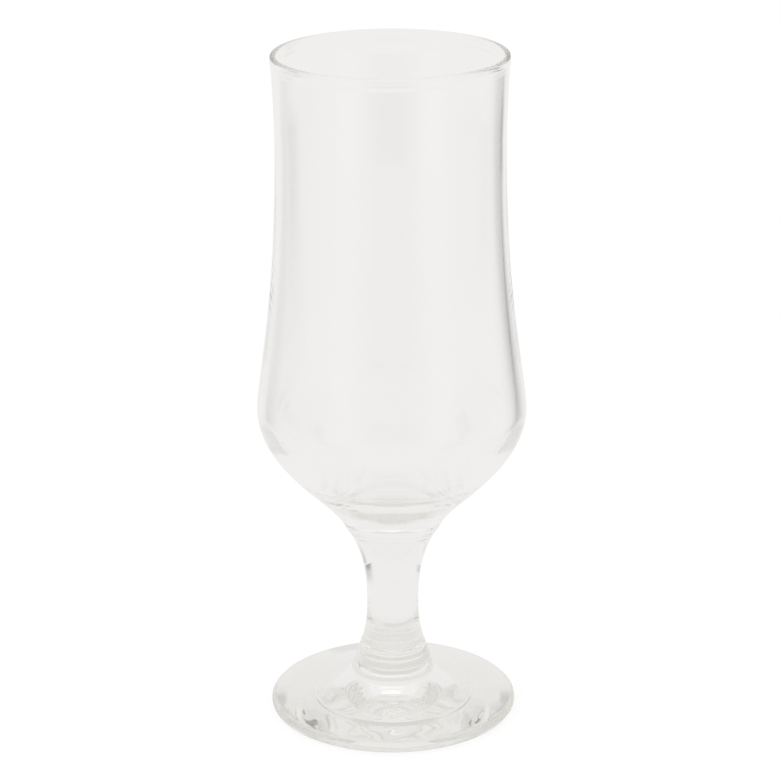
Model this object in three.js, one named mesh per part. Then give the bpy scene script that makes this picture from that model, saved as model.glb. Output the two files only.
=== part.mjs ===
// A stemmed beer glass with a tulip bowl, in millimetres.
// The origin is the middle of the foot's underside, and +Z points up to the mouth.
// The glass is three bodies of clear glass that are fused hot, one on top of the other:
// a pressed foot, a drawn stem and a blown bowl. Each is a solid of revolution about Z.

import * as THREE from 'three';

// Foot
const footDiameter = 71;
const footEdgeThickness = 3.2;
const footHeight = 14;
const footTopSlopeAtEdge = 9;
const footTopSlopeAtCollar = 26;
const collarDiameter = 24;
const collarFootHeight = 10.8;
const collarFillet = 1.4;
const collarAngle = 104;
const recessDiameter = 45.2;
const recessDepth = 1.3;
const recessDome = 1.5;
const recessStepWidth = 0.6;

// Stem
const stemLength = 42;
const stemFootDiameter = 22.2;
const stemWaistDiameter = 14.75;
const stemWaistHeight = 18.8;
const toolRingHeight = 0.05;
const toolRingPitch = 2.1;
const toolRings = 3;

// Bowl, outside
const bowlHeight = 137;
const bowlSeatDiameter = 27.5;
const bowlSeatAngle = 68.5;
const bellyDiameter = 76.1;
const bellyHeight = 35.6;
const waistDiameter = 63.5;
const waistHeight = 114;
const mouthDiameter = 65.3;
const mouthLean = 5;

// Bowl, inside
const lipThickness = 1.64;
const waistWall = 1.6;
const bellyWall = 2.7;
const heelWall = 3.4;
const heelPosition = 0.54;
const floorThickness = 7;

// How far a curve keeps the direction of each end, as a share of the height or width it spans
const ease = {
  domeTop: 0.5,
  domeRim: 0.2,
  footTopEdge: 0.54,
  footTopCollar: 0.18,
  flareFoot: 0.27,
  flareWaist: 0.64,
  throatWaist: 0.7,
  throatSeat: 0.02,
  shoulderSeat: 0.27,
  shoulderBelly: 0.46,
  flankBelly: 0.1,
  flankWaist: 0.59,
  mouthWaist: 0.02,
  mouthLip: 0.28,
  heel: 0.3,
  dishHeel: 0.5,
  dishFloor: 0.35,
};

// How finely the round forms are divided
const sidesAround = 64;
const radians = THREE.MathUtils.degToRad;

// A direction in the half plane of the outline, from its angle above the horizontal
function direction(degrees) {
  return new THREE.Vector2(Math.cos(radians(degrees)), Math.sin(radians(degrees)));
}

// A cubic curve that leaves one point along a handle and arrives at another against a handle
function bend(start, startHandle, end, endHandle) {
  const first = start.clone().add(startHandle);
  const second = end.clone().sub(endHandle);
  return new THREE.CubicBezierCurve(start, first, second, end);
}

// Outline points of several curves that follow each other, each joint kept once
function joined(runs) {
  const points = [];
  for (const [curve, steps] of runs) {
    const own = curve.getPoints(steps);
    points.push(...(points.length ? own.slice(1) : own));
  }
  return points;
}

// A quarter or half round between two angles about a centre, as outline points
function roundEdge(centre, radius, fromDegrees, toDegrees, steps) {
  const points = [];
  for (let i = 0; i <= steps; i += 1) {
    const angle = fromDegrees + (toDegrees - fromDegrees) * (i / steps);
    points.push(direction(angle).multiplyScalar(radius).add(centre));
  }
  return points;
}

// An outline in the half plane, turned about Z
function revolved(outline) {
  const geometry = new THREE.LatheGeometry(outline, sidesAround);
  geometry.rotateX(Math.PI / 2);
  return geometry;
}

function clearGlass(colour) {
  return new THREE.MeshStandardMaterial({
    color: colour,
    roughness: 0.04,
    metalness: 0,
    transparent: true,
    opacity: 0.35,
  });
}

function piece(name, geometry, height, colour) {
  const mesh = new THREE.Mesh(geometry, clearGlass(colour));
  mesh.name = name;
  mesh.position.z = height;
  return mesh;
}

// The foot stands on a flat ring outside a shallow domed recess. Its edge is a half round,
// and its top climbs in one sweep to a collar that carries the stem.
function makeFoot() {
  const edgeRadius = footEdgeThickness / 2;
  const edgeCentre = new THREE.Vector2(footDiameter / 2 - edgeRadius, edgeRadius);
  const recessRadius = recessDiameter / 2;
  const recessTop = new THREE.Vector2(0, recessDepth + recessDome);
  const recessRim = new THREE.Vector2(recessRadius - recessStepWidth, recessDepth);
  const dome = bend(
    recessTop, direction(0).multiplyScalar(recessRadius * ease.domeTop),
    recessRim, direction(0).multiplyScalar(recessRadius * ease.domeRim),
  );
  const topStart = new THREE.Vector2(edgeCentre.x, footEdgeThickness);
  const collar = new THREE.Vector2(collarDiameter / 2, collarFootHeight);
  const filletTop = direction(collarAngle).multiplyScalar(collarFillet).add(collar);
  const filletFoot = direction(-footTopSlopeAtCollar).multiplyScalar(collarFillet).add(collar);
  const topWidth = topStart.x - filletFoot.x;
  const top = bend(
    topStart, direction(180 - footTopSlopeAtEdge).multiplyScalar(topWidth * ease.footTopEdge),
    filletFoot, direction(180 - footTopSlopeAtCollar).multiplyScalar(topWidth * ease.footTopCollar),
  );
  const fillet = new THREE.QuadraticBezierCurve(filletFoot, collar, filletTop);
  const jointEdge = new THREE.Vector2(stemFootDiameter / 2, footHeight);
  const collarSide = new THREE.LineCurve(filletTop, jointEdge);
  return revolved([
    ...dome.getPoints(5),
    new THREE.Vector2(recessRadius, 0),
    ...roundEdge(edgeCentre, edgeRadius, -90, 90, 6),
    ...joined([[top, 8], [fillet, 4], [collarSide, 1]]).slice(1),
    new THREE.Vector2(0, footHeight),
  ]);
}

// The flare of the stem onto the foot, with the low rings that the tool leaves where the
// two were closed together. Each ring is a raised cosine of the height above the joint,
// sampled finely, and the flare runs plain above the last ring.
function flareWithToolRings(flare) {
  const ringShare = Math.min((toolRings * toolRingPitch) / stemWaistHeight, 0.8);
  const ringSteps = 4 * toolRings;
  const plainSteps = 6;
  const points = [];
  for (let i = 0; i < ringSteps; i += 1) {
    const point = flare.getPoint(ringShare * (i / ringSteps));
    const turns = Math.min(point.y / toolRingPitch, toolRings);
    const swell = (1 - Math.cos(2 * Math.PI * turns)) / 2;
    points.push(new THREE.Vector2(point.x + toolRingHeight * swell, point.y));
  }
  for (let i = 0; i <= plainSteps; i += 1) {
    points.push(flare.getPoint(ringShare + (1 - ringShare) * (i / plainSteps)));
  }
  return points;
}

// The stem is solid. It flares down to the foot, and up to the seat under the bowl.
function makeStem() {
  const foot = new THREE.Vector2(stemFootDiameter / 2, 0);
  const waist = new THREE.Vector2(stemWaistDiameter / 2, stemWaistHeight);
  const seat = new THREE.Vector2(bowlSeatDiameter / 2, stemLength);
  const up = direction(90);
  const flare = bend(
    foot, direction(collarAngle).multiplyScalar(stemWaistHeight * ease.flareFoot),
    waist, up.clone().multiplyScalar(stemWaistHeight * ease.flareWaist),
  );
  const waistToSeat = stemLength - stemWaistHeight;
  const throat = bend(
    waist, up.clone().multiplyScalar(waistToSeat * ease.throatWaist),
    seat, direction(bowlSeatAngle).multiplyScalar(waistToSeat * ease.throatSeat),
  );
  return revolved([
    new THREE.Vector2(0, 0),
    ...flareWithToolRings(flare),
    ...throat.getPoints(9).slice(1),
    new THREE.Vector2(0, stemLength),
  ]);
}

// The bowl is a tulip: a wide belly low down, a slight waist, and a mouth that opens again.
// Its wall grows from a thin round lip down to the heel, and below the heel the cavity
// closes in a deep round dish over the solid base.
function makeBowl() {
  const seat = new THREE.Vector2(bowlSeatDiameter / 2, 0);
  const belly = new THREE.Vector2(bellyDiameter / 2, bellyHeight);
  const waist = new THREE.Vector2(waistDiameter / 2, waistHeight);
  const lipRadius = lipThickness / 2;
  const lip = new THREE.Vector2(mouthDiameter / 2 - lipRadius, bowlHeight - lipRadius);
  const up = direction(90);
  const lean = direction(90 - mouthLean);
  const acrossLip = direction(-mouthLean).multiplyScalar(lipRadius);
  const bellyToWaist = waistHeight - bellyHeight;
  const waistToLip = lip.y - waistHeight;

  const shoulder = bend(
    seat, direction(bowlSeatAngle).multiplyScalar(bellyHeight * ease.shoulderSeat),
    belly, up.clone().multiplyScalar(bellyHeight * ease.shoulderBelly),
  );
  const flank = bend(
    belly, up.clone().multiplyScalar(bellyToWaist * ease.flankBelly),
    waist, up.clone().multiplyScalar(bellyToWaist * ease.flankWaist),
  );
  const mouth = bend(
    waist, up.clone().multiplyScalar(waistToLip * ease.mouthWaist),
    lip.clone().add(acrossLip), lean.clone().multiplyScalar(waistToLip * ease.mouthLip),
  );

  const heelOutside = shoulder.getPoint(heelPosition);
  const alongHeel = shoulder.getTangent(heelPosition);
  const intoGlass = new THREE.Vector2(-alongHeel.y, alongHeel.x);
  const heel = heelOutside.clone().add(intoGlass.multiplyScalar(heelWall));
  const innerBelly = belly.clone().sub(new THREE.Vector2(bellyWall, 0));
  const innerWaist = waist.clone().sub(new THREE.Vector2(waistWall, 0));
  const floor = new THREE.Vector2(0, floorThickness);

  const innerMouth = bend(
    lip.clone().sub(acrossLip), lean.clone().multiplyScalar(-waistToLip * ease.mouthLip),
    innerWaist, up.clone().multiplyScalar(-waistToLip * ease.mouthWaist),
  );
  const innerFlank = bend(
    innerWaist, up.clone().multiplyScalar(-bellyToWaist * ease.flankWaist),
    innerBelly, up.clone().multiplyScalar(-bellyToWaist * ease.flankBelly),
  );
  const bellyToHeel = innerBelly.y - heel.y;
  const heelToFloor = heel.y - floor.y;
  const innerHeel = bend(
    innerBelly, up.clone().multiplyScalar(-bellyToHeel * ease.heel),
    heel, alongHeel.clone().multiplyScalar(-bellyToHeel * ease.heel),
  );
  const dish = bend(
    heel, alongHeel.clone().multiplyScalar(-heelToFloor * ease.dishHeel),
    floor, direction(180).multiplyScalar(heel.x * ease.dishFloor),
  );
  return revolved([
    new THREE.Vector2(0, 0),
    ...joined([[shoulder, 12], [flank, 10], [mouth, 4]]),
    ...roundEdge(lip, lipRadius, -mouthLean, 90, 3).slice(1),
    ...roundEdge(lip, lipRadius, 90, 180 - mouthLean, 3).slice(1, -1),
    ...joined([[innerMouth, 4], [innerFlank, 10], [innerHeel, 5], [dish, 8]]),
  ]);
}

const glass = new THREE.Group();
glass.add(piece('foot', makeFoot(), 0, 0xe6eae4));
glass.add(piece('stem', makeStem(), footHeight, 0xeceeea));
glass.add(piece('bowl', makeBowl(), footHeight + stemLength, 0xf1f2ef));

export default glass;
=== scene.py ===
import math
from collections import namedtuple
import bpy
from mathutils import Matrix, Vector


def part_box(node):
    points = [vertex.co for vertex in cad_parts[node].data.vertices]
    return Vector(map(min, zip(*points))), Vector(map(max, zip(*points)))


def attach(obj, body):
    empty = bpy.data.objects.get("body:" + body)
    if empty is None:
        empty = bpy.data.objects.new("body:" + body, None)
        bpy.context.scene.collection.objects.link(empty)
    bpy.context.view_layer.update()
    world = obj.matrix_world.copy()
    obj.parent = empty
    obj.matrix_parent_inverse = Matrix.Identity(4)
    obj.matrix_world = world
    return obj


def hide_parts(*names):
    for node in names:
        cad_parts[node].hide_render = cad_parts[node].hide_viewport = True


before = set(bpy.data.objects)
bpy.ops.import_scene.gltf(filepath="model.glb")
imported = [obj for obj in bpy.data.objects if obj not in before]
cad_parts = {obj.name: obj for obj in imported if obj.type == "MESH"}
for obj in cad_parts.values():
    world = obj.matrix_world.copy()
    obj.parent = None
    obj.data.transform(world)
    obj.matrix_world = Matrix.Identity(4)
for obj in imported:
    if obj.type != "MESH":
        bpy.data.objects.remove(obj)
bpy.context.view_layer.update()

from types import SimpleNamespace

import bpy
import numpy as np
from bpy.props import FloatProperty, FloatVectorProperty, IntProperty, PointerProperty
from bpy.types import Operator, Panel, PropertyGroup
from mathutils import Matrix

bl_info = {
    "name": "Tulip Beer Glass",
    "version": (1, 0, 0),
    "blender": (4, 5, 0),
    "location": "3D View > Sidebar > Glass",
    "description": "Makes a stemmed tulip beer glass of clear glass, and a white stage for it",
    "category": "Add Mesh",
}

BOWL_LOW, BOWL_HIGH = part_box("bowl")
STEM_LOW, STEM_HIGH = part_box("stem")
FOOT_LOW, FOOT_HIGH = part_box("foot")
BODY = "root"

# How far a curve keeps the direction of each end, as a share of the height or width it spans
EASE = SimpleNamespace(
    shoulder_seat=0.27, shoulder_belly=0.46,
    flank_belly=0.1, flank_waist=0.59,
    mouth_waist=0.02, mouth_lip=0.28,
    heel=0.3, dish_heel=0.5, dish_floor=0.35,
    flare_foot=0.27, flare_waist=0.64,
    throat_waist=0.7, throat_seat=0.02,
    dome_top=0.5, dome_rim=0.2,
    step_rim=0.7, step_ring=0.3,
    foot_top_edge=0.54, foot_top_collar=0.18,
)

# Points along each run of an outline
POINTS = SimpleNamespace(
    shoulder=60, flank=50, mouth=90, lip=21, heel=24, dish=50,
    flare=90, throat=60,
    dome=30, step=12, foot_edge=33, foot_top=50, fillet=14, collar=8,
)

HEEL_POSITION = 0.54        # Where the wall is measured for the heel, as a share of the shoulder
CORNER_TURN = math.radians(25)        # An outline that turns by more has a corner there
SAME_POINT = 1e-9        # Outline points that lie closer are one point, in metres
HEIGHT_DIGITS = 7        # Digits to which the height of a fused face is compared
LEVEL = 0.0
UPRIGHT = math.pi / 2

DISC_SIDES = 96
FLOOR_HEIGHT = -0.0001
TABLE_HEIGHT = -0.0004
FLOOR_WHITE = 0.8        # How much of the floor that the camera sees shines white by itself
SHADE_MIDDLE = (0.0, -0.008, 0.0)
SHADE_CORE = 0.45        # Share of the shade's radius that is fully dark
WHITE = (1.0, 1.0, 1.0, 1.0)
LAMP_PASSES = (0.97, 0.975, 0.965, 1.0)        # Share of lamp light that passes one face of the glass
PRESS_SCALE = 75.0        # Bumps of the pressed foot's unevenness to a metre
PRESS_TOP = 0.7        # Share of the foot's height up to which the unevenness is full
LIGHT_BOUNCES = 256

LAMP_SIZE = 0.8
LAMP_POWER = 4.0
LAMP_PLACE = (-0.4, -0.2, 1.1)
LAMP_TILT = math.radians(-20)
SENSOR_WIDTH = 36
NEAREST_SEEN = 0.01

# A soft patch of painted shade or painted light on the surroundings that only the glass shows,
# darker or lighter than the rest. It spans a range of bearings in degrees, 0 away from the camera
# and positive to the right, or the same turn to either side, and a range of distances on the table
# in metres or, for the room, of the sine of the height above the horizon. The sides are soft and
# blur wide, and amount is added to the brightness 1.
Patch = namedtuple("Patch", "angle start end soft near far blur amount")

TABLE_PATCHES = (
    # A painted dark patch at the right, half a metre away, standing for a dark flag, with its wide
    # painted half-shade and its sharp inner edge
    Patch("bearing", 40, 52, 9, 0.45, 0.65, 0.23, -0.36),
    Patch("bearing", 47, 55, 21, 0.22, 0.76, 0.12, -0.28),
    Patch("bearing", 32, 38, 3, 0.66, 0.72, 0.05, -0.20),
    # A fainter painted dark patch at the left, standing for a flag, and painted dimness on the table
    # beyond it
    Patch("bearing", -56, -55, 18, 0.30, 0.71, 0.05, -0.25),
    Patch("bearing", -84, -73, 35, 0.27, 0.80, 0.15, -0.15),
    # Painted shade on the camera's side, and a painted light place on each side of it
    Patch("turn", 173, 192, 27, 0.48, 1.70, 0.08, -0.33),
    Patch("turn", 132, 138, 14, 0.52, 1.57, 0.15, 0.13),
    # Close under the foot, painted shadow: its shade in front, painted contact shade as a dark line
    # along its front edge, and the same line behind
    Patch("turn", 150, 181, 10, 0.018, 0.026, 0.003, -0.16),
    Patch("turn", 95, 181, 12, 0.0315, 0.0355, 0.0015, -0.32),
    Patch("bearing", -28, 8, 8, 0.031, 0.036, 0.002, -0.12),
)

ROOM_PATCHES = (
    # A painted dark patch for the flag at the right, from the table's edge up to the horizon
    Patch("bearing", 53, 57, 11, -0.40, 0.0, 0.37, -0.40),
    # Painted dimness for walls on both sides, with painted dark top edges for the right and the left
    # flag
    Patch("turn", 62, 105, 18, 0.25, 0.66, 0.15, -0.12),
    Patch("bearing", 65, 77, 4, 0.50, 0.58, 0.03, -0.50),
    Patch("bearing", -91, -68, 4, 0.50, 0.59, 0.03, -0.50),
    # Overhead: a painted light strip, a painted highlight standing for a lamp in it, and painted
    # dimness for the ceiling above the glass
    Patch("turn", 0, 62, 20, 0.80, 0.90, 0.05, 0.06),
    Patch("bearing", -12, 20, 8, 0.86, 0.94, 0.03, 0.14),
    Patch("turn", 20, 180, 10, 0.93, 1.2, 0.04, -0.10),
)


class BowlSizes(PropertyGroup):
    """Sizes of the bowl. Heights are above the flat seat on which it is fused to the stem."""

    seat_diameter: FloatProperty(
        name="Seat diameter", description="Across the base of the bowl at the joint",
        default=0.0275, unit="LENGTH")
    seat_angle: FloatProperty(
        name="Seat angle", description="Slope of the outside at the joint, above the horizontal",
        default=math.radians(68.5), subtype="ANGLE")
    belly_diameter: FloatProperty(
        name="Belly diameter", description="Across the widest part",
        default=BOWL_HIGH.x - BOWL_LOW.x, unit="LENGTH")
    belly_height: FloatProperty(
        name="Belly height", description="From the seat to the widest part",
        default=0.0356, unit="LENGTH")
    waist_diameter: FloatProperty(
        name="Waist diameter", description="Across the narrowest part of the side",
        default=0.0635, unit="LENGTH")
    waist_height: FloatProperty(
        name="Waist height", description="From the seat to the narrowest part of the side",
        default=0.114, unit="LENGTH")
    mouth_diameter: FloatProperty(
        name="Mouth diameter", description="Across the outside of the lip",
        default=0.0653, unit="LENGTH")
    mouth_lean: FloatProperty(
        name="Mouth lean", description="How far the wall leans out under the lip",
        default=math.radians(5), subtype="ANGLE")
    lip_thickness: FloatProperty(
        name="Lip thickness", description="Across the round lip", default=0.00164, unit="LENGTH")
    bead_height: FloatProperty(
        name="Lip bead", description="How far the soft bead under the lip swells to each side",
        default=0.00013, unit="LENGTH")
    bead_width: FloatProperty(
        name="Lip bead width", description="How far the bead reaches down",
        default=0.003, unit="LENGTH")
    waist_wall: FloatProperty(
        name="Waist wall", description="Wall thickness at the waist", default=0.0016, unit="LENGTH")
    belly_wall: FloatProperty(
        name="Belly wall", description="Wall thickness at the belly", default=0.0027, unit="LENGTH")
    heel_wall: FloatProperty(
        name="Heel wall", description="Wall thickness where the side turns into the floor",
        default=0.0034, unit="LENGTH")
    floor_thickness: FloatProperty(
        name="Floor thickness", description="Solid glass under the middle of the cavity",
        default=0.007, unit="LENGTH")


class StemSizes(PropertyGroup):
    """Sizes of the stem. Heights are above the joint with the foot."""

    foot_diameter: FloatProperty(
        name="Foot end diameter", description="Across the joint with the foot",
        default=0.0222, unit="LENGTH")
    waist_diameter: FloatProperty(
        name="Waist diameter", description="Across the narrowest part",
        default=0.01475, unit="LENGTH")
    waist_height: FloatProperty(
        name="Waist height", description="From the foot joint to the narrowest part",
        default=0.0188, unit="LENGTH")
    ring_height: FloatProperty(
        name="Tool ring height", description="How far each low ring stands proud",
        default=0.00005, unit="LENGTH")
    ring_pitch: FloatProperty(
        name="Tool ring pitch", description="Height from one low ring to the next",
        default=0.0021, unit="LENGTH")
    rings: IntProperty(
        name="Tool rings", description="Low rings above the foot joint", default=3, min=0)


class FootSizes(PropertyGroup):
    """Sizes of the foot. Heights are above the table."""

    diameter: FloatProperty(
        name="Diameter", description="Across the foot",
        default=FOOT_HIGH.x - FOOT_LOW.x, unit="LENGTH")
    edge_thickness: FloatProperty(
        name="Edge thickness", description="Across the half-round edge",
        default=0.0032, unit="LENGTH")
    top_slope_edge: FloatProperty(
        name="Top slope at the edge", description="Slope of the top where it leaves the edge",
        default=math.radians(9), subtype="ANGLE")
    top_slope_collar: FloatProperty(
        name="Top slope at the collar", description="Slope of the top where it meets the collar",
        default=math.radians(26), subtype="ANGLE")
    collar_diameter: FloatProperty(
        name="Collar diameter", description="Across the foot of the collar",
        default=0.024, unit="LENGTH")
    collar_height: FloatProperty(
        name="Collar foot height", description="Height at which the collar starts",
        default=0.0108, unit="LENGTH")
    collar_angle: FloatProperty(
        name="Collar angle", description="Slope of the collar's side",
        default=math.radians(104), subtype="ANGLE")
    collar_fillet: FloatProperty(
        name="Collar fillet", description="How far the fillet runs out on either side",
        default=0.0014, unit="LENGTH")
    recess_diameter: FloatProperty(
        name="Recess diameter", description="Across the recess in the underside",
        default=0.0452, unit="LENGTH")
    recess_depth: FloatProperty(
        name="Recess depth", description="Depth of the recess at its rim",
        default=0.0013, unit="LENGTH")
    recess_dome: FloatProperty(
        name="Recess dome", description="How much deeper the recess is at the middle",
        default=0.0015, unit="LENGTH")
    recess_step: FloatProperty(
        name="Recess step", description="Width of the step at the recess's rim",
        default=0.0006, unit="LENGTH")


class GlassLook(PropertyGroup):
    """How the glass looks."""

    sides: IntProperty(
        name="Sides", description="Faces around each piece", default=192, min=32)
    ior: FloatProperty(
        name="Index of refraction", description="How strongly the glass bends light",
        default=1.52, min=1.0, max=2.0)
    tint: FloatVectorProperty(
        name="Depth tint", description="Colour that deep glass tends to",
        default=(0.675, 0.70, 0.60), subtype="COLOR", size=3, min=0.0, max=1.0)
    tint_density: FloatProperty(
        name="Depth density", description="How fast the tint builds up, for each metre",
        default=4.0, min=0.0)
    bowl_density: FloatProperty(
        name="Bowl depth density", description="The same for the thin blown bowl, which is clearer",
        default=0.8, min=0.0)
    press_wave: FloatProperty(
        name="Press unevenness", description="Height of the faint unevenness of the pressed foot",
        default=0.0002, unit="LENGTH")
    joint_gap: FloatProperty(
        name="Joint gap", description="Air left between two fused faces so that they never coincide",
        default=0.00001, unit="LENGTH")


class StageLook(PropertyGroup):
    """The white stage and the camera."""

    floor_radius: FloatProperty(
        name="Floor radius", description="How far the floor reaches", default=0.16, unit="LENGTH")
    floor_color: FloatVectorProperty(
        name="Floor colour", description="Colour of the pale floor",
        default=(0.9, 0.9, 0.9), subtype="COLOR", size=3, min=0.0, max=1.0)
    shade_radius: FloatProperty(
        name="Shade radius", description="How far the shade under the foot reaches",
        default=0.062, unit="LENGTH")
    shade_color: FloatVectorProperty(
        name="Shade colour", description="Colour of the floor under the foot, seen through the glass",
        default=(0.80, 0.785, 0.765), subtype="COLOR", size=3, min=0.0, max=1.0)
    studio_color: FloatVectorProperty(
        name="Studio colour", description="Colour of the room and the table, seen through the glass",
        default=(0.881, 0.865, 0.857), subtype="COLOR", size=3, min=0.0, max=1.0)
    table_radius: FloatProperty(
        name="Table radius", description="How far the table reaches that the glass shows",
        default=1.5, unit="LENGTH")
    camera_distance: FloatProperty(
        name="Camera distance", description="From the glass's axis to the camera, level",
        default=0.72004, unit="LENGTH")
    camera_height: FloatProperty(
        name="Camera height", description="From the table to the camera",
        default=0.34881, unit="LENGTH")
    camera_side: FloatProperty(
        name="Camera side", description="How far the camera stands to the right",
        default=-0.0005, unit="LENGTH")
    camera_pitch: FloatProperty(
        name="Camera pitch", description="How far the camera looks down",
        default=math.radians(19.334), subtype="ANGLE")
    camera_roll: FloatProperty(
        name="Camera roll", description="Turn of the camera about its view",
        default=math.radians(-0.29), subtype="ANGLE")
    lens: FloatProperty(
        name="Lens", description="Focal length in millimetres on a 36 mm sensor", default=124.61)


def direction(angle):
    """Unit vector in the half plane (radius, height) at an angle above the horizontal."""
    return np.array([math.cos(angle), math.sin(angle)])


def cubic_point(start, start_handle, end, end_handle, t):
    """A cubic curve at t: start, a first and a second handle point, and end, weighted by (1-t)^3,
    3(1-t)^2 t, 3(1-t) t^2 and t^3. It leaves start along start_handle, and arrives at end against
    end_handle."""
    first, second = start + start_handle, end - end_handle
    return (1 - t)**3 * start + 3 * (1 - t)**2 * t * first + 3 * (1 - t) * t**2 * second + t**3 * end


def cubic_heading(start, start_handle, end, end_handle, t):
    """The unit direction of the same curve at t."""
    first, second = start + start_handle, end - end_handle
    rate = (1 - t)**2 * (first - start) + 2 * (1 - t) * t * (second - first) + t**2 * (end - second)
    return rate / np.linalg.norm(rate)


def cubic(start, start_handle, end, end_handle, count):
    """Points along the same curve, from start to end."""
    return cubic_point(start, start_handle, end, end_handle, np.linspace(0, 1, count)[:, None])


def arc(centre, radius, start, end, count):
    """Points on a circle about centre, from one angle to another."""
    angle = np.linspace(start, end, count)
    return centre + radius * np.stack([np.cos(angle), np.sin(angle)], axis=1)


def joined(*runs):
    """Outline runs that follow each other, each joint point kept once."""
    return np.vstack([runs[0]] + [run[1:] for run in runs[1:]])


def outline_normals(outline):
    """The outward normal (radial, upward) at the start and at the end of each outline segment.
    Where the outline bends gently both segments share the mean heading. At a corner, and at the
    two poles, each one carries on its own bend: its heading plus half of the last turn."""
    step = np.diff(outline, axis=0)
    heading = np.unwrap(np.arctan2(step[:, 1], step[:, 0]))
    turn = np.diff(heading)
    smooth = np.abs(turn) < CORNER_TURN
    share = np.linalg.norm(step, axis=1)
    mean = heading[:-1] + turn * share[:-1] / (share[:-1] + share[1:])
    bend_before = np.concatenate([[0], np.where(smooth, turn, 0)])
    bend_after = np.concatenate([np.where(smooth, turn, 0), [0]])
    at_start, at_end = heading - bend_after / 2, heading + bend_before / 2
    at_start[1:] = np.where(smooth, mean, at_start[1:])
    at_end[:-1] = np.where(smooth, mean, at_end[:-1])
    return [np.stack([np.sin(a), -np.cos(a)], axis=1) for a in (at_start, at_end)]


def revolve(name, outline, sides, fused, material):
    """A closed surface of revolution. Ring j and side i hold the point
    (r_j cos a_i, r_j sin a_i, z_j), where a_i is i turns over the number of sides, and the
    first and last outline points are the two poles. The normals come from the outline. fused
    says for each segment whether it is a hot joint, and the faces keep that in an attribute."""
    angle = np.arange(sides) * (2 * math.pi / sides)
    radius, height = outline[1:-1, 0], outline[1:-1, 1]
    x, y = radius[:, None] * np.cos(angle), radius[:, None] * np.sin(angle)
    z = np.repeat(height[:, None], sides, axis=1)
    rings = np.stack([x, y, z], axis=2).reshape(-1, 3)
    poles = np.array([[0, 0, outline[0, 1]], [0, 0, outline[-1, 1]]])
    points = np.vstack([rings, poles])
    first_pole, last_pole = len(rings), len(rings) + 1

    here = np.arange(sides)
    beside = (here + 1) % sides
    rows = np.arange(len(radius) - 1)[:, None] * sides
    quads = np.stack([rows + here, rows + beside, rows + sides + beside, rows + sides + here], axis=2)
    last_row = (len(radius) - 1) * sides
    start_fan = np.stack([np.full(sides, first_pole), beside, here], axis=1)
    end_fan = np.stack([np.full(sides, last_pole), last_row + here, last_row + beside], axis=1)

    mesh = bpy.data.meshes.new(name)
    mesh.from_pydata(points.tolist(), [],
                     start_fan.tolist() + quads.reshape(-1, 4).tolist() + end_fan.tolist())
    mesh.materials.append(material)
    mesh.update()
    mesh.shade_smooth()

    at_start, at_end = outline_normals(outline)

    def around(pair, side):
        """Outline normals turned to the angles of some sides."""
        across = pair[..., 0, None] * np.stack([np.cos(angle[side]), np.sin(angle[side])], axis=-1)
        upward = np.broadcast_to(pair[..., 1, None], across.shape[:-1] + (1,))
        return np.concatenate([across, upward], axis=-1)

    first, last = at_end[0], at_start[-1]
    fan_start = np.stack([
        np.broadcast_to([0.0, 0.0, np.sign(at_start[0][1])], (sides, 3)),
        around(np.broadcast_to(first, (sides, 2)), beside),
        around(np.broadcast_to(first, (sides, 2)), here)], axis=1)
    fan_end = np.stack([
        np.broadcast_to([0.0, 0.0, np.sign(at_end[-1][1])], (sides, 3)),
        around(np.broadcast_to(last, (sides, 2)), here),
        around(np.broadcast_to(last, (sides, 2)), beside)], axis=1)
    low = np.repeat(at_start[1:-1, None, :], sides, axis=1)
    high = np.repeat(at_end[1:-1, None, :], sides, axis=1)
    count = len(radius) - 1
    sides_here = np.broadcast_to(here, (count, sides))
    sides_beside = np.broadcast_to(beside, (count, sides))
    quad_normals = np.stack([
        around(low, sides_here), around(low, sides_beside),
        around(high, sides_beside), around(high, sides_here)], axis=2)
    normals = np.vstack([fan_start.reshape(-1, 3), quad_normals.reshape(-1, 3), fan_end.reshape(-1, 3)])
    mesh.normals_split_custom_set(normals.tolist())

    joint = mesh.attributes.new("fused", "FLOAT", "FACE")
    joint.data.foreach_set("value", np.repeat(np.asarray(fused, np.float32), sides))
    piece = bpy.data.objects.new(name, mesh)
    bpy.context.scene.collection.objects.link(piece)
    return piece


class Wire:
    """An output socket of a node tree. Arithmetic on wires and numbers adds the Math nodes for it."""

    def __init__(self, sheet, socket):
        self.sheet = sheet
        self.socket = socket

    def math(self, operation, first, second):
        return self.sheet.add("ShaderNodeMath", {"operation": operation}, {0: first, 1: second})

    def __add__(self, other):
        return self.math("ADD", self, other)

    __radd__ = __add__

    def __rsub__(self, other):
        return self.math("SUBTRACT", other, self)

    def __mul__(self, other):
        return self.math("MULTIPLY", self, other)


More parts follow.
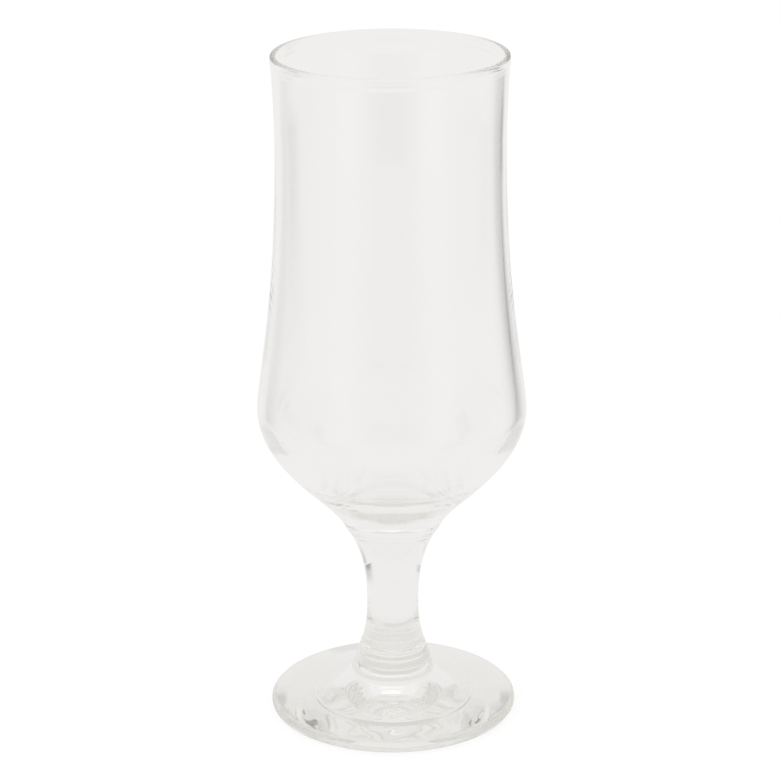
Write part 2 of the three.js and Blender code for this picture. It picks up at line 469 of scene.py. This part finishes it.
class NodeSheet:
    """A node tree that is filled one node at a time."""

    def __init__(self, tree):
        self.tree = tree
        tree.nodes.clear()

    def add(self, kind, settings=None, inputs=None, output=0):
        """Adds a node of one kind, sets its settings, then sets or links its input sockets."""
        node = self.tree.nodes.new(kind)
        for name, value in (settings or {}).items():
            setattr(node, name, value)
        for name, value in (inputs or {}).items():
            if isinstance(value, Wire):
                self.tree.links.new(value.socket, node.inputs[name])
            else:
                node.inputs[name].default_value = value
        return Wire(self, node.outputs[output]) if len(node.outputs) else None

    def window(self, value, low, high, soft):
        """1 between low and high, 0 outside, with smooth sides that are soft wide."""
        rise = self.add("ShaderNodeMapRange", {"interpolation_type": "SMOOTHSTEP"},
                        {"Value": value, "From Min": low - soft, "From Max": low})
        fall = self.add("ShaderNodeMapRange", {"interpolation_type": "SMOOTHSTEP"},
                        {"Value": value, "From Min": high, "From Max": high + soft})
        return rise * (1 - fall)

    def bearings(self, vector):
        """The bearing of a vector in degrees from +Y towards +X, the same to either side, and the
        vector's height."""
        x = self.add("ShaderNodeSeparateXYZ", inputs={0: vector})
        y, height = (Wire(self, x.socket.node.outputs[i]) for i in (1, 2))
        bearing = self.add("ShaderNodeMath", {"operation": "ARCTAN2"}, {0: x, 1: y}) * math.degrees(1)
        turn = self.add("ShaderNodeMath", {"operation": "ABSOLUTE"}, {0: bearing})
        return bearing, turn, height

    def patches(self, angles, outward, patches):
        """1 changed by soft patches. Each adds its amount times a window of its angle times a
        window of outward, the distance or the height."""
        light = 1.0
        for patch in patches:
            across = self.window(angles[patch.angle], patch.start, patch.end, patch.soft)
            along = self.window(outward, patch.near, patch.far, patch.blur)
            light = light + across * along * patch.amount
        return light

    def in_glass(self):
        """1 for a ray that has been bent or mirrored by the glass."""
        return self.add("ShaderNodeMath", {"operation": "MAXIMUM"}, {
            0: self.add("ShaderNodeLightPath", output="Is Glossy Ray"),
            1: self.add("ShaderNodeLightPath", output="Is Transmission Ray")})


def new_sheet(name):
    material = bpy.data.materials.new(name)
    material.use_nodes = True
    return material, NodeSheet(material.node_tree)


def clear_glass(look, name, density):
    """Clear glass that takes a little colour with depth. At a hot joint, where the two faces are
    one body of glass, it bends and reflects nothing. Light from lamps passes it. The pressed foot
    is faintly uneven."""
    material, sheet = new_sheet(name)
    place = sheet.add("ShaderNodeTexCoord", output="Object")
    height = sheet.add("ShaderNodeSeparateXYZ", inputs={0: place}, output=2)
    on_foot = sheet.add("ShaderNodeMapRange", {"interpolation_type": "SMOOTHSTEP"}, {
        "Value": height, "From Min": FOOT_HIGH.z, "From Max": FOOT_HIGH.z * PRESS_TOP})
    uneven = sheet.add("ShaderNodeTexNoise", inputs={
        "Vector": place, "Scale": PRESS_SCALE, "Detail": 1.0})
    pressed = sheet.add("ShaderNodeBump", inputs={
        "Strength": 1.0, "Distance": look.press_wave, "Height": uneven * on_foot})
    glass = sheet.add("ShaderNodeBsdfPrincipled", inputs={
        "Base Color": WHITE,
        "Roughness": 0.0,
        "IOR": look.ior,
        "Transmission Weight": 1.0,
        "Normal": pressed,
    })
    inside = sheet.add("ShaderNodeBsdfPrincipled", inputs={
        "Base Color": WHITE,
        "Roughness": 0.0,
        "IOR": 1.0,
        "Transmission Weight": 1.0,
    })
    fused = sheet.add("ShaderNodeAttribute", {"attribute_name": "fused"}, output="Fac")
    body = sheet.add("ShaderNodeMixShader", inputs={0: fused, 1: glass, 2: inside})
    clear = sheet.add("ShaderNodeBsdfTransparent", inputs={"Color": LAMP_PASSES})
    lamp_ray = sheet.add("ShaderNodeLightPath", output="Is Shadow Ray")
    shown = sheet.add("ShaderNodeMixShader", inputs={0: lamp_ray, 1: body, 2: clear})
    depth = sheet.add("ShaderNodeVolumeAbsorption", inputs={
        "Color": (*look.tint, 1.0), "Density": density})
    sheet.add("ShaderNodeOutputMaterial", inputs={"Surface": shown, "Volume": depth})
    return material


def lip_bead(run, start, sizes):
    """How far each point of a run swells in the soft bead under the lip: a raised cosine of its
    depth below start, over the bead's width."""
    depth = np.clip((start - run[:, 1]) / sizes.bead_width, 0, 1)
    return sizes.bead_height * (1 - np.cos(2 * math.pi * depth)) / 2


def bowl_outline(sizes, top, gap):
    """Outline of the bowl from the middle of its base, up the outside, over the lip and down the
    inside to the middle of the floor. Each run is a cubic curve, and the lip is a half circle."""
    up = direction(UPRIGHT)
    seat_height = BOWL_LOW.z
    seat = np.array([sizes.seat_diameter / 2, seat_height])
    belly = np.array([sizes.belly_diameter / 2, seat_height + sizes.belly_height])
    waist = np.array([sizes.waist_diameter / 2, seat_height + sizes.waist_height])
    lip_radius = sizes.lip_thickness / 2
    lip = np.array([sizes.mouth_diameter / 2 - lip_radius, top - lip_radius])
    lean = direction(UPRIGHT - sizes.mouth_lean)
    across = direction(-sizes.mouth_lean) * lip_radius
    belly_to_waist = waist[1] - belly[1]
    waist_to_lip = lip[1] - waist[1]

    lip_end, lip_start = lip + across, lip - across

    shoulder = (seat, direction(sizes.seat_angle) * sizes.belly_height * EASE.shoulder_seat,
                belly, up * sizes.belly_height * EASE.shoulder_belly)
    outside = joined(
        cubic(*shoulder, POINTS.shoulder),
        cubic(belly, up * belly_to_waist * EASE.flank_belly,
              waist, up * belly_to_waist * EASE.flank_waist, POINTS.flank),
        cubic(waist, up * waist_to_lip * EASE.mouth_waist,
              lip_end, lean * waist_to_lip * EASE.mouth_lip, POINTS.mouth),
    )
    outside[:, 0] += lip_bead(outside, lip_end[1], sizes)
    over_lip = arc(lip, lip_radius, -sizes.mouth_lean, math.pi - sizes.mouth_lean, POINTS.lip)

    along = cubic_heading(*shoulder, HEEL_POSITION)
    into_glass = np.array([-along[1], along[0]])
    heel = cubic_point(*shoulder, HEEL_POSITION) + into_glass * sizes.heel_wall
    inner_waist = waist - [sizes.waist_wall, 0]
    inner_belly = belly - [sizes.belly_wall, 0]
    floor = np.array([0, seat_height + sizes.floor_thickness])
    belly_to_heel = inner_belly[1] - heel[1]
    heel_to_floor = heel[1] - floor[1]
    inside = joined(
        cubic(lip_start, -lean * waist_to_lip * EASE.mouth_lip,
              inner_waist, -up * waist_to_lip * EASE.mouth_waist, POINTS.mouth),
        cubic(inner_waist, -up * belly_to_waist * EASE.flank_waist,
              inner_belly, -up * belly_to_waist * EASE.flank_belly, POINTS.flank),
        cubic(inner_belly, -up * belly_to_heel * EASE.heel,
              heel, -along * belly_to_heel * EASE.heel, POINTS.heel),
        cubic(heel, -along * heel_to_floor * EASE.dish_heel,
              floor, np.array([-heel[0] * EASE.dish_floor, 0]), POINTS.dish),
    )
    inside[:, 0] -= lip_bead(inside, lip_start[1], sizes)
    outline = joined(np.array([[0, seat_height], seat]), outside, over_lip, inside)
    outline[:2, 1] += gap
    return outline


def stem_outline(sizes, seat_diameter, seat_angle, collar_angle, gap):
    """Outline of the stem from the middle of its foot joint up to the middle of the bowl's seat.
    The flare carries low tool rings: a raised cosine of the height above the joint."""
    up = direction(UPRIGHT)
    low, high = STEM_LOW.z, STEM_HIGH.z
    foot = np.array([sizes.foot_diameter / 2, low])
    waist = np.array([sizes.waist_diameter / 2, low + sizes.waist_height])
    seat = np.array([seat_diameter / 2, high])
    flare = cubic(foot, direction(collar_angle) * sizes.waist_height * EASE.flare_foot,
                  waist, up * sizes.waist_height * EASE.flare_waist, POINTS.flare)
    turns = np.minimum((flare[:, 1] - low) / sizes.ring_pitch, sizes.rings)
    flare[:, 0] += sizes.ring_height * (1 - np.cos(2 * math.pi * turns)) / 2
    waist_to_seat = high - waist[1]
    throat = cubic(waist, up * waist_to_seat * EASE.throat_waist,
                   seat, direction(seat_angle) * waist_to_seat * EASE.throat_seat, POINTS.throat)
    outline = joined(np.array([[0, low], foot]), flare, throat, np.array([seat, [0, high]]))
    outline[:2, 1] += gap
    outline[-2:, 1] -= gap
    return outline


def foot_outline(sizes, stem_foot_diameter, gap):
    """Outline of the foot from the middle of the recess, over the standing ring and the half-round
    edge, up the top to the collar and the joint with the stem."""
    level = direction(LEVEL)
    edge_radius = sizes.edge_thickness / 2
    edge = np.array([sizes.diameter / 2 - edge_radius, edge_radius])
    recess_radius = sizes.recess_diameter / 2
    recess_top = np.array([0, sizes.recess_depth + sizes.recess_dome])
    recess_rim = np.array([recess_radius - sizes.recess_step, sizes.recess_depth])
    standing_ring = np.array([recess_radius, 0])
    underside = joined(
        cubic(recess_top, level * recess_radius * EASE.dome_top,
              recess_rim, level * recess_radius * EASE.dome_rim, POINTS.dome),
        cubic(recess_rim, level * sizes.recess_step * EASE.step_rim,
              standing_ring, level * sizes.recess_step * EASE.step_ring, POINTS.step),
    )
    collar = np.array([sizes.collar_diameter / 2, sizes.collar_height])
    fillet_top = collar + direction(sizes.collar_angle) * sizes.collar_fillet
    fillet_foot = collar + direction(-sizes.top_slope_collar) * sizes.collar_fillet
    top_start = np.array([edge[0], sizes.edge_thickness])
    top_width = top_start[0] - fillet_foot[0]
    edge_slope = direction(math.pi - sizes.top_slope_edge)
    collar_slope = direction(math.pi - sizes.top_slope_collar)
    top = cubic(top_start, edge_slope * top_width * EASE.foot_top_edge,
                fillet_foot, collar_slope * top_width * EASE.foot_top_collar, POINTS.foot_top)
    fillet = cubic(fillet_foot, (collar - fillet_foot) * 2 / 3,
                   fillet_top, (fillet_top - collar) * 2 / 3, POINTS.fillet)
    high = FOOT_HIGH.z
    joint = np.array([stem_foot_diameter / 2, high])
    outline = joined(
        underside,
        arc(edge, edge_radius, -UPRIGHT, UPRIGHT, POINTS.foot_edge),
        top, fillet, np.linspace(fillet_top, joint, POINTS.collar),
        np.array([joint, [0, high]]),
    )
    outline[-2:, 1] -= gap
    return outline


def tidy_outline(outline):
    """Drops points that repeat the one before."""
    keep = np.ones(len(outline), bool)
    keep[1:] = np.linalg.norm(np.diff(outline, axis=0), axis=1) > SAME_POINT
    return outline[keep]


def level_caps(outline, heights):
    """For each outline segment, whether it lies on one of the fused faces' heights."""
    at_face = np.isin(np.round(outline[:, 1], HEIGHT_DIGITS), np.round(heights, HEIGHT_DIGITS))
    return at_face[:-1] & at_face[1:]


class GLASS_OT_bowl(Operator):
    """Make the blown tulip bowl"""

    bl_idname = "beer_glass.bowl"
    bl_label = "Bowl"

    def execute(self, context):
        scene = context.scene
        look = scene.glass_look
        outline = tidy_outline(bowl_outline(scene.bowl_sizes, BOWL_HIGH.z, look.joint_gap))
        caps = level_caps(outline, [BOWL_LOW.z + look.joint_gap])
        bowl = revolve("blown_bowl", outline, look.sides, caps,
                       clear_glass(look, "blown_glass", look.bowl_density))
        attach(bowl, BODY)
        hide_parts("bowl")
        return {"FINISHED"}


class GLASS_OT_stem(Operator):
    """Make the drawn stem"""

    bl_idname = "beer_glass.stem"
    bl_label = "Stem"

    def execute(self, context):
        scene = context.scene
        look = scene.glass_look
        bowl, foot = scene.bowl_sizes, scene.foot_sizes
        outline = tidy_outline(stem_outline(
            scene.stem_sizes, bowl.seat_diameter, bowl.seat_angle, foot.collar_angle, look.joint_gap))
        caps = level_caps(outline, [STEM_LOW.z + look.joint_gap, STEM_HIGH.z - look.joint_gap])
        stem = revolve("drawn_stem", outline, look.sides, caps,
                       clear_glass(look, "drawn_glass", look.tint_density))
        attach(stem, BODY)
        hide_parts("stem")
        return {"FINISHED"}


class GLASS_OT_foot(Operator):
    """Make the pressed foot"""

    bl_idname = "beer_glass.foot"
    bl_label = "Foot"

    def execute(self, context):
        scene = context.scene
        look = scene.glass_look
        outline = tidy_outline(foot_outline(
            scene.foot_sizes, scene.stem_sizes.foot_diameter, look.joint_gap))
        caps = level_caps(outline, [FOOT_HIGH.z - look.joint_gap])
        foot = revolve("pressed_foot", outline, look.sides, caps,
                       clear_glass(look, "pressed_glass", look.tint_density))
        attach(foot, BODY)
        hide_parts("foot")
        return {"FINISHED"}


def disc(name, radius, height, material):
    """A level disc: a ring of points and one in the middle."""
    angle = np.arange(DISC_SIDES) * (2 * math.pi / DISC_SIDES)
    rim = np.stack([np.cos(angle), np.sin(angle), np.zeros(DISC_SIDES)], axis=1) * radius
    points = np.vstack([rim, [[0, 0, 0]]])
    points[:, 2] = height
    here = np.arange(DISC_SIDES)
    middle = np.full(DISC_SIDES, DISC_SIDES)
    fan = np.stack([middle, here, (here + 1) % DISC_SIDES], axis=1)
    mesh = bpy.data.meshes.new(name)
    mesh.from_pydata(points.tolist(), [], fan.tolist())
    mesh.materials.append(material)
    made = bpy.data.objects.new(name, mesh)
    bpy.context.scene.collection.objects.link(made)
    return made


def floor_material(look):
    """A pale matt floor that shows white to the camera and keeps a shadow. Rays that come through
    the glass pass it, to the table below, and from underneath it is not there."""
    material, sheet = new_sheet("pale_floor")
    matt = sheet.add("ShaderNodeBsdfDiffuse", inputs={"Color": (*look.floor_color, 1.0)})
    white = sheet.add("ShaderNodeEmission", inputs={"Color": WHITE, "Strength": 1.0})
    camera_ray = sheet.add("ShaderNodeLightPath", output="Is Camera Ray")
    shown = sheet.add("ShaderNodeMixShader", inputs={
        0: camera_ray * FLOOR_WHITE, 1: matt, 2: white})
    beyond = sheet.add("ShaderNodeBsdfTransparent", inputs={"Color": WHITE})
    underneath = sheet.add("ShaderNodeNewGeometry", output="Backfacing")
    passes = sheet.add("ShaderNodeMath", {"operation": "MAXIMUM"}, {
        0: sheet.in_glass(), 1: underneath})
    finished = sheet.add("ShaderNodeMixShader", inputs={0: passes, 1: shown, 2: beyond})
    sheet.add("ShaderNodeOutputMaterial", inputs={"Surface": finished})
    return material


def table_material(look):
    """The table as the glass shows it, glowing though it is no lamp: pale, with a painted shadow
    under the foot and the soft painted dark and light patches of TABLE_PATCHES."""
    material, sheet = new_sheet("table_in_the_glass")
    place = sheet.add("ShaderNodeTexCoord", output="Object")
    bearing, turn, _ = sheet.bearings(place)
    distance = sheet.add("ShaderNodeVectorMath", {"operation": "LENGTH"}, {0: place}, output="Value")
    # Painted shade and painted light of the patches, seen only in the glass
    light = sheet.patches({"bearing": bearing, "turn": turn}, distance, TABLE_PATCHES)
    # Painted shadow of the foot on the table, darker towards the camera's side
    from_shade = sheet.add("ShaderNodeVectorMath", {"operation": "DISTANCE"}, {
        0: place, 1: SHADE_MIDDLE}, output="Value")
    fade = sheet.add("ShaderNodeMapRange", {"interpolation_type": "SMOOTHSTEP"}, {
        "Value": from_shade,
        "From Min": look.shade_radius * SHADE_CORE,
        "From Max": look.shade_radius,
    })
    color = sheet.add("ShaderNodeMix", {"data_type": "RGBA"}, {
        0: fade, 6: (*look.shade_color, 1.0), 7: (*look.studio_color, 1.0)}, output=2)
    glow = sheet.add("ShaderNodeEmission", inputs={"Color": color, "Strength": light})
    sheet.add("ShaderNodeOutputMaterial", inputs={"Surface": glow})
    return material


class GLASS_OT_stage(Operator):
    """Make the floor, the light and the camera"""

    bl_idname = "beer_glass.stage"
    bl_label = "Stage"

    def execute(self, context):
        look = context.scene.stage_look
        self.make_floor(look)
        self.make_world(context.scene, look)
        self.make_lamp()
        self.make_camera(context.scene, look)
        return {"FINISHED"}

    def make_floor(self, look):
        """A round floor just under the glass, and a wide table below it that only the glass shows,
        glowing with painted shade and light.
        """
        disc("floor", look.floor_radius, FLOOR_HEIGHT, floor_material(look))
        # The table glows with painted shade and painted light, and only the glass shows it
        table = disc("table", look.table_radius, TABLE_HEIGHT, table_material(look))
        table.visible_camera = False
        table.visible_diffuse = False
        table.visible_shadow = False

    def make_world(self, scene, look):
        """A white studio. What is seen straight is white. What is seen through the glass, or mirrored
        in it, is a pale room with the soft painted shade and painted light of ROOM_PATCHES."""
        world = bpy.data.worlds.new("white_studio")
        world.use_nodes = True
        scene.world = world
        sheet = NodeSheet(world.node_tree)
        bearing, turn, height = sheet.bearings(sheet.add("ShaderNodeTexCoord", output="Generated"))
        # Painted shade and painted light, met only by rays that the glass has bent or mirrored
        light = sheet.patches({"bearing": bearing, "turn": turn}, height, ROOM_PATCHES)
        in_glass = sheet.in_glass()
        strength = 1 - in_glass * (1 - light)
        paper = sheet.add("ShaderNodeMix", {"data_type": "RGBA"}, {
            0: in_glass, 6: WHITE, 7: (*look.studio_color, 1.0)}, output=2)
        background = sheet.add("ShaderNodeBackground", inputs={"Color": paper, "Strength": strength})
        sheet.add("ShaderNodeOutputWorld", inputs={"Surface": background})

    def make_lamp(self):
        """One wide soft lamp above and to the left."""
        data = bpy.data.lights.new("softbox", "AREA")
        data.shape = "SQUARE"
        data.size = LAMP_SIZE
        data.energy = LAMP_POWER
        lamp = bpy.data.objects.new("softbox", data)
        lamp.matrix_world = Matrix.Translation(LAMP_PLACE) @ Matrix.Rotation(LAMP_TILT, 4, "Y")
        lamp.visible_glossy = False
        lamp.visible_transmission = False
        bpy.context.scene.collection.objects.link(lamp)

    def make_camera(self, scene, look):
        data = bpy.data.cameras.new("camera")
        data.lens = look.lens
        data.sensor_width = SENSOR_WIDTH
        data.clip_start = NEAREST_SEEN
        camera = bpy.data.objects.new("camera", data)
        place = Matrix.Translation((look.camera_side, -look.camera_distance, look.camera_height))
        tilt = Matrix.Rotation(UPRIGHT - look.camera_pitch, 4, "X")
        roll = Matrix.Rotation(look.camera_roll, 4, "Z")
        camera.matrix_world = place @ tilt @ roll
        scene.collection.objects.link(camera)
        scene.camera = camera


OPERATORS = (GLASS_OT_bowl, GLASS_OT_stem, GLASS_OT_foot, GLASS_OT_stage)
SIZE_GROUPS = {
    "bowl_sizes": BowlSizes,
    "stem_sizes": StemSizes,
    "foot_sizes": FootSizes,
    "glass_look": GlassLook,
    "stage_look": StageLook,
}


class GLASS_PT_panel(Panel):
    """The glass's operators and sizes"""

    bl_idname = "GLASS_PT_panel"
    bl_label = "Beer Glass"
    bl_space_type = "VIEW_3D"
    bl_region_type = "UI"
    bl_category = "Glass"

    def draw(self, context):
        for operator in OPERATORS:
            self.layout.operator(operator.bl_idname)
        for group in SIZE_GROUPS:
            box = self.layout.box()
            settings = getattr(context.scene, group)
            for name in settings.bl_rna.properties.keys():
                if name not in {"rna_type", "name"}:
                    box.prop(settings, name)


def register():
    for group in SIZE_GROUPS.values():
        bpy.utils.register_class(group)
    for name, group in SIZE_GROUPS.items():
        setattr(bpy.types.Scene, name, PointerProperty(type=group))
    for operator in OPERATORS:
        bpy.utils.register_class(operator)
    bpy.utils.register_class(GLASS_PT_panel)


def unregister():
    bpy.utils.unregister_class(GLASS_PT_panel)
    for operator in reversed(OPERATORS):
        bpy.utils.unregister_class(operator)
    for name in SIZE_GROUPS:
        delattr(bpy.types.Scene, name)
    for group in reversed(SIZE_GROUPS.values()):
        bpy.utils.unregister_class(group)


def main():
    register()
    scene = bpy.context.scene
    scene.view_settings.view_transform = "Standard"
    scene.cycles.max_bounces = LIGHT_BOUNCES
    scene.cycles.transmission_bounces = LIGHT_BOUNCES
    scene.cycles.glossy_bounces = LIGHT_BOUNCES
    bpy.ops.beer_glass.bowl()
    bpy.ops.beer_glass.stem()
    bpy.ops.beer_glass.foot()
    bpy.ops.beer_glass.stage()


if __name__ == "__main__":
    main()
